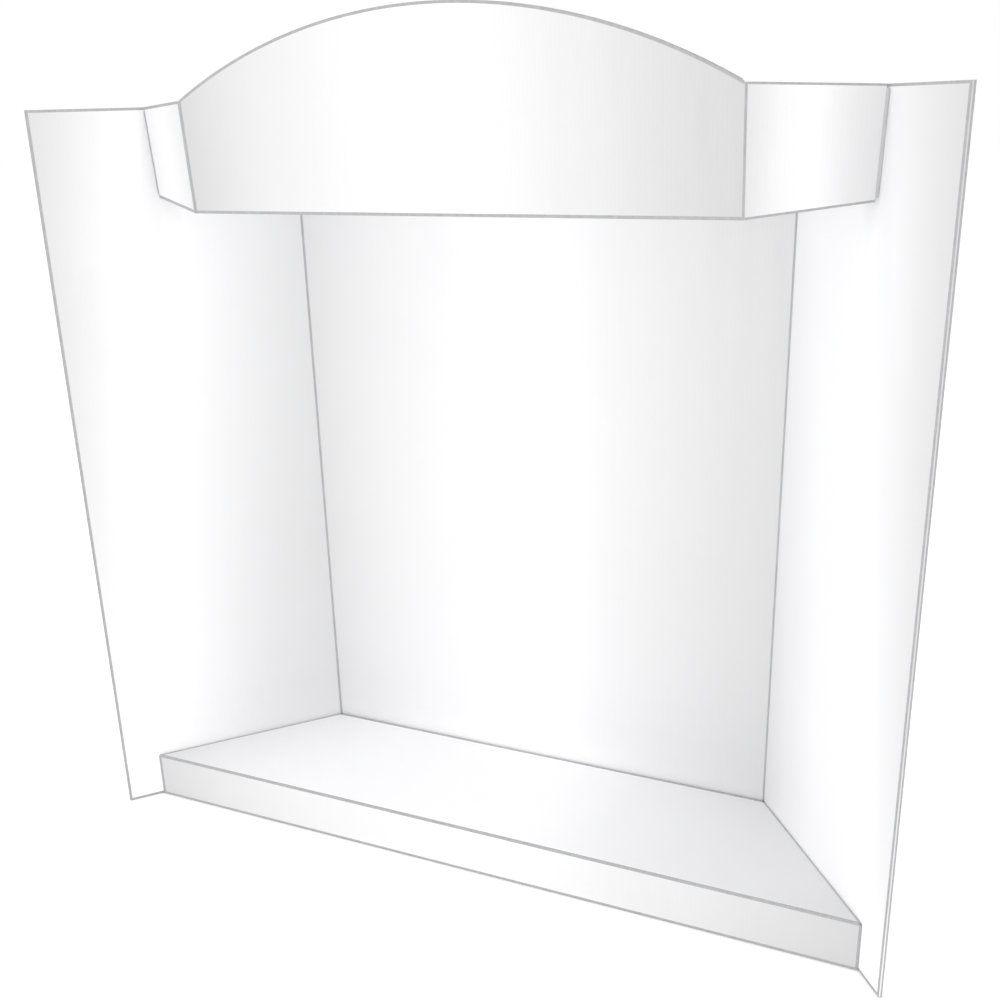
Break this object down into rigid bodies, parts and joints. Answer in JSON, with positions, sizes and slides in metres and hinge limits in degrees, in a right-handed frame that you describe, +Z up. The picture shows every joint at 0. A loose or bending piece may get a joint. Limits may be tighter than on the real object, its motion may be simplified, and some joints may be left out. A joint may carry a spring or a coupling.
{
  "type": "countertop display surround",
  "caption": "Folding countertop surround of white fluted plastic board: back panel, two splayed wings, arched header with side flaps, and a trapezoid riser tray at the foot.",
  "frame": {"origin": "centre of the footprint at table level", "axes": "+Z up, +X to the right seen from the front, -Y towards the person at the front; the back panel is at +Y"},
  "size_m": [0.9894, 0.2428, 0.9471],
  "materials": {
    "surround_board": "satin",
    "header_board": "satin",
    "tray_board": "satin",
    "crease": "satin",
    "hook": "matte",
    "loop": "matte"
  },
  "bodies": {
    "surround": {"back_panel": "surround_board", "left_wing_crease": "crease", "right_wing_crease": "crease", "back_left_loop_coin": "loop", "back_right_loop_coin": "loop"},
    "left_wing": {"left_wing_panel": "surround_board", "left_wing_upper_loop_coin": "loop", "left_wing_lower_loop_coin": "loop"},
    "right_wing": {"right_wing_panel": "surround_board", "right_wing_upper_loop_coin": "loop", "right_wing_lower_loop_coin": "loop"},
    "header": {"header_panel": "header_board", "header_left_crease": "crease", "header_right_crease": "crease"},
    "left_flap": {"header_left_flap": "header_board", "left_flange": "header_board", "left_flange_crease": "crease", "left_flange_upper_hook_coin": "hook", "left_flange_lower_hook_coin": "hook"},
    "right_flap": {"header_right_flap": "header_board", "right_flange": "header_board", "right_flange_crease": "crease", "right_flange_upper_hook_coin": "hook", "right_flange_lower_hook_coin": "hook"},
    "tray": {"tray_deck": "tray_board", "tray_rear_skirt": "tray_board", "tray_left_skirt": "tray_board", "tray_right_skirt": "tray_board", "tray_front_crease": "crease", "tray_rear_crease": "crease", "tray_left_crease": "crease", "tray_right_crease": "crease", "tray_front_left_ear": "tray_board", "tray_front_right_ear": "tray_board", "tray_rear_left_ear": "tray_board", "tray_rear_right_ear": "tray_board", "tray_left_hook_coin": "hook", "tray_right_hook_coin": "hook"},
    "front_skirt": {"tray_front_skirt": "tray_board"}
  },
  "joints": [
    {"name": "left_wing_fold", "type": "hinge", "parent": "surround", "child": "left_wing", "pos_m": [-0.305, 0.11738, 0], "axis": [0, 0, -1], "range_deg": [0, 52]},
    {"name": "right_wing_fold", "type": "hinge", "parent": "surround", "child": "right_wing", "pos_m": [0.305, 0.11738, 0], "axis": [0, 0, 1], "range_deg": [0, 52]},
    {"name": "header_lift", "type": "slide", "parent": "surround", "child": "header", "axis": [0, 0, 1], "range_m": [0, 0.15]},
    {"name": "left_flap_fold", "type": "hinge", "parent": "header", "child": "left_flap", "pos_m": [-0.305, -0.08162, 0.7547], "axis": [0, 0.0698, -0.9976], "range_deg": [0, 52]},
    {"name": "right_flap_fold", "type": "hinge", "parent": "header", "child": "right_flap", "pos_m": [0.305, -0.08162, 0.7547], "axis": [0, -0.0698, 0.9976], "range_deg": [0, 52]},
    {"name": "tray_slide", "type": "slide", "parent": "surround", "child": "tray", "axis": [0, -1, 0], "range_m": [0, 0.3]},
    {"name": "front_skirt_fold", "type": "hinge", "parent": "tray", "child": "front_skirt", "pos_m": [0, -0.08662, 0.0582], "axis": [-1, 0, 0], "range_deg": [0, 90]}
  ]
}
